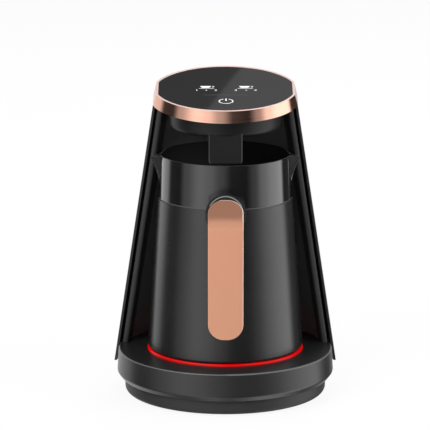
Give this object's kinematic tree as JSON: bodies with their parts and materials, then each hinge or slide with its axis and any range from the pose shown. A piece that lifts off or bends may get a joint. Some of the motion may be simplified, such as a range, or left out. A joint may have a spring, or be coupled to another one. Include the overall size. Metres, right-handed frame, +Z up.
{
  "type": "electric turkish coffee maker",
  "caption": "Electric Turkish coffee maker: round base with red light ring, rear tower, tilted touch-panel head with a rose-gold bezel, and a tapered pot with side spouts and a front handle.",
  "frame": {"origin": "on the table under the middle of the appliance, on the upright axis that the base, the pot and the head share", "axes": "+Z up; -Y towards the front, where the pot's handle points; +X to the right as seen from the front"},
  "size_m": [0.1746, 0.1767, 0.248],
  "materials": {
    "matte_black": "satin moulded black",
    "gloss_black": "gloss black lacquer",
    "sleeve_black": "satin black",
    "rose_gold": "satin rose gold",
    "bezel_rose": "brushed rose gold",
    "panel_black": "gloss black touch panel",
    "plate_metal": "dark coated plate",
    "steel": "satin",
    "rubber": "matt",
    "ring_red": "lit red light guide",
    "board_green": "solder mask",
    "parts_grey": "moulded",
    "smoke_window": "smoked"
  },
  "bodies": {
    "appliance": {"base_housing": "matte_black", "base_screws": "steel", "board_posts": "parts_grey", "bottom_cover": "matte_black", "buzzer": "parts_grey", "cord_gland": "rubber", "foam_sensor": "board_green", "head_bezel": "bezel_rose", "head_lower_housing": "matte_black", "head_screws": "steel", "heat_sensor": "steel", "heating_element": "steel", "hot_plate": "plate_metal", "light_board": "board_green", "light_ring": "ring_red", "nose_housing": "gloss_black", "panel_carrier": "matte_black", "power_board": "board_green", "power_parts": "parts_grey", "reflector_pan": "steel", "ring_lamps": "parts_grey", "rubber_feet": "rubber", "sensor_bracket": "steel", "sensor_spring": "steel", "sensor_window": "smoke_window", "thermal_fuse": "steel", "touch_board": "board_green", "touch_panel": "panel_black", "touch_springs": "steel", "tower_frame": "steel", "tower_front_panel": "matte_black", "tower_rear_cover": "matte_black", "tower_screws": "steel", "wire_harness": "rubber"},
    "pot": {"pot_vessel": "gloss_black", "pot_sleeve": "sleeve_black", "vessel_gasket": "rubber", "pot_base_plate": "plate_metal", "pot_foot_ring": "matte_black", "handle_cover": "rose_gold", "handle_core": "gloss_black", "handle_bracket": "steel", "handle_screws": "steel"}
  },
  "joints": [
    {"name": "pot_removal", "type": "slide", "parent": "appliance", "child": "pot", "axis": [0, -1, 0], "range_m": [0, 0.2]}
  ]
}
